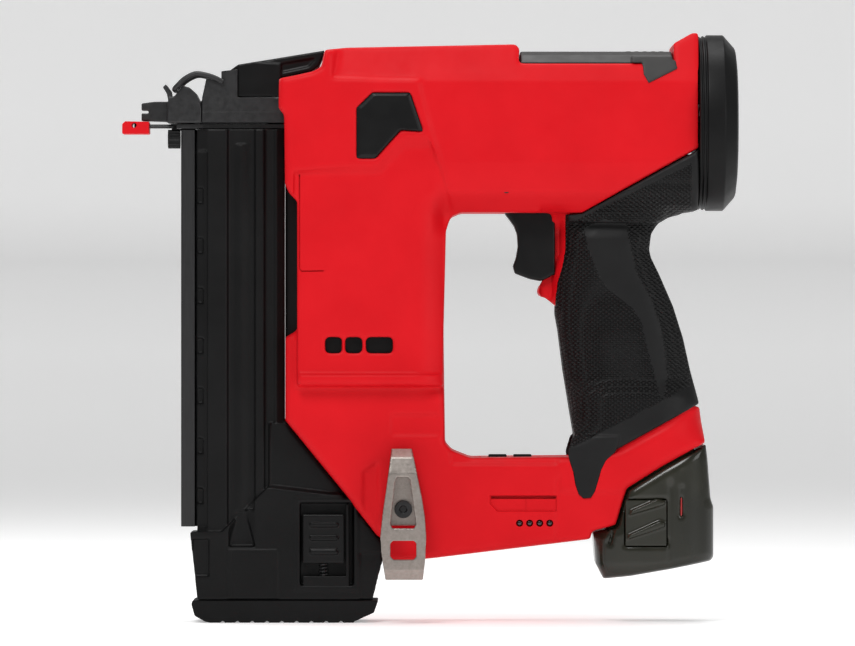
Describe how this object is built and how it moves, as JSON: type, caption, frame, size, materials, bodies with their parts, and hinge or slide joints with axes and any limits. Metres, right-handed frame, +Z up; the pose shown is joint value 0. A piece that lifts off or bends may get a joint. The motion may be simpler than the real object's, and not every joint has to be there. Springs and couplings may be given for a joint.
{
  "type": "brad nailer",
  "caption": "Cordless brad nailer with gas-spring driver, slide-open magazine, jam-clear lever, trigger, belt hook and slide-in battery.",
  "frame": {"origin": "middle of the foot pad's underside, on the tool's mid-plane", "axes": "+X from the nose to the rear cap, +Z up along the magazine, +Y to the tool's right side"},
  "size_m": [0.271, 0.0729, 0.2586],
  "materials": {
    "red_plastic": "satin moulded red nylon",
    "black_plastic": "fine-textured black nylon",
    "black_rubber": "soft overmoulded rubber",
    "black_metal": "black-coated steel",
    "steel": "satin nickel-plated steel",
    "bright_steel": "bright steel",
    "aluminium": "cast aluminium",
    "smoke_plastic": "smoke-tinted polycarbonate",
    "cell_wrap": "shrink-wrapped cell",
    "circuit_board": "coated circuit board",
    "magnet": "coated magnet steel",
    "brass": "copper windings",
    "grey_plastic": "grey nylon",
    "clear_lens": "dark tinted lens"
  },
  "bodies": {
    "housing": {"housing_left": "red_plastic", "housing_right": "red_plastic", "grip_cover_left": "black_rubber", "grip_cover_right": "black_rubber", "rear_cap": "black_plastic", "top_cover": "black_plastic", "side_insert_left": "black_plastic", "side_insert_right": "black_plastic", "keypad_panel": "grey_plastic", "gauge_lens": "clear_lens", "housing_screw_1": "steel", "housing_screw_2": "steel", "housing_screw_3": "steel", "nose_base": "black_metal", "contact_spring": "bright_steel", "magazine_rail": "aluminium", "brad_strip": "bright_steel", "air_tank": "aluminium", "cylinder_liner": "bright_steel", "bumper": "black_rubber", "tank_end": "aluminium", "motor_can": "magnet", "motor_stator": "brass", "motor_end_plate": "grey_plastic", "motor_bearing_lower": "bright_steel", "motor_bearing_upper": "bright_steel", "gearbox_case": "aluminium", "trigger_spring": "bright_steel", "trigger_switch": "black_plastic", "control_board": "circuit_board", "terminal_block": "grey_plastic", "belt_hook": "steel", "belt_hook_screw": "black_metal"},
    "trigger": {"trigger": "black_plastic"},
    "contact_arm": {"contact_arm": "steel", "contact_rod": "steel", "contact_tip": "red_plastic"},
    "depth_wheel": {"depth_wheel": "black_plastic"},
    "jam_lever": {"jam_lever": "black_plastic"},
    "wire_bail": {"wire_bail": "steel"},
    "nose_door": {"nose_door": "black_metal"},
    "magazine": {"magazine_cover": "black_plastic", "foot_pad": "black_rubber", "latch_spring": "bright_steel"},
    "magazine_latch": {"magazine_latch": "black_plastic"},
    "pusher": {"pusher": "grey_plastic"},
    "battery": {"battery_case": "smoke_plastic", "battery_cell_1": "cell_wrap", "battery_cell_2": "cell_wrap", "battery_cell_3": "cell_wrap", "battery_cap": "black_plastic"},
    "release_tab_left": {"release_tab_left": "smoke_plastic"},
    "release_tab_right": {"release_tab_right": "smoke_plastic"},
    "key_1": {"keypad_button_1": "black_plastic"},
    "key_2": {"keypad_button_2": "black_plastic"},
    "lifter": {"lifter_wheel": "bright_steel"},
    "driver": {"driver_blade": "bright_steel", "piston": "aluminium"},
    "rotor": {"motor_rotor": "magnet", "motor_fan": "grey_plastic"}
  },
  "joints": [
    {"name": "trigger_pull", "type": "slide", "parent": "housing", "child": "trigger", "axis": [1, 0, 0], "range_m": [0, 0.006], "stiffness_N_per_m": 400, "springref_m": -0.004, "deforming": ["trigger_spring"]},
    {"name": "contact_press", "type": "slide", "parent": "housing", "child": "contact_arm", "axis": [1, 0, 0], "range_m": [0, 0.0065], "stiffness_N_per_m": 300, "springref_m": -0.005, "deforming": ["contact_spring"]},
    {"name": "depth_turn", "type": "hinge", "parent": "housing", "child": "depth_wheel", "pos_m": [-0.051, -0.0048, 0.2126], "axis": [1, 0, 0], "range_deg": [-180, 180]},
    {"name": "jam_lift", "type": "hinge", "parent": "housing", "child": "jam_lever", "pos_m": [-0.0265, 0, 0.238], "axis": [0, -1, 0], "range_deg": [0, 80]},
    {"name": "bail_swing", "type": "hinge", "parent": "housing", "child": "wire_bail", "pos_m": [-0.0296, 0, 0.2376], "axis": [0, 1, 0], "range_deg": [0, 50]},
    {"name": "door_swing", "type": "hinge", "parent": "housing", "child": "nose_door", "pos_m": [-0.0401, 0, 0.2296], "axis": [0, 1, 0], "range_deg": [0, 25]},
    {"name": "magazine_open", "type": "slide", "parent": "housing", "child": "magazine", "axis": [0, 0, -1], "range_m": [0, 0.13]},
    {"name": "latch_press", "type": "slide", "parent": "magazine", "child": "magazine_latch", "axis": [0, 0, -1], "range_m": [0, 0.0045], "stiffness_N_per_m": 500, "springref_m": -0.003, "deforming": ["latch_spring"]},
    {"name": "pusher_travel", "type": "slide", "parent": "magazine", "child": "pusher", "axis": [0, 0, -1], "range_m": [0, 0.06], "stiffness_N_per_m": 60, "springref_m": -0.05},
    {"name": "battery_slide", "type": "slide", "parent": "housing", "child": "battery", "axis": [0.1959, 0, -0.9806], "range_m": [0, 0.075]},
    {"name": "tab_left_press", "type": "slide", "parent": "battery", "child": "release_tab_left", "axis": [0, 1, 0], "range_m": [0, 0.001], "stiffness_N_per_m": 800, "springref_m": -0.002},
    {"name": "tab_right_press", "type": "slide", "parent": "battery", "child": "release_tab_right", "axis": [0, -1, 0], "range_m": [0, 0.001], "stiffness_N_per_m": 800, "springref_m": -0.002},
    {"name": "key_1_press", "type": "slide", "parent": "housing", "child": "key_1", "axis": [0, 0, -1], "range_m": [0, 0.0005], "stiffness_N_per_m": 800, "springref_m": -0.001},
    {"name": "key_2_press", "type": "slide", "parent": "housing", "child": "key_2", "axis": [0, 0, -1], "range_m": [0, 0.0005], "stiffness_N_per_m": 800, "springref_m": -0.001},
    {"name": "lifter_turn", "type": "hinge", "parent": "housing", "child": "lifter", "pos_m": [0.036, 0.0097, 0.2232], "axis": [0, 0, -1], "range_deg": [0, 270]},
    {"name": "driver_stroke", "type": "slide", "parent": "housing", "child": "driver", "axis": [-1, 0, 0], "range_m": [0, 0.0545]},
    {"name": "rotor_turn", "type": "hinge", "parent": "housing", "child": "rotor", "pos_m": [0.036, 0.0097, 0.116], "axis": [0, 0, -1], "range_deg": [0, 1085]}
  ],
  "couplings": [
    {"joint": "bail_swing", "follows": "jam_lift", "ratio": 0.6},
    {"joint": "door_swing", "follows": "jam_lift", "ratio": 0.25},
    {"joint": "driver_stroke", "follows": "lifter_turn", "m_per_rad": 0.0115},
    {"joint": "rotor_turn", "follows": "lifter_turn", "ratio": 4}
  ]
}
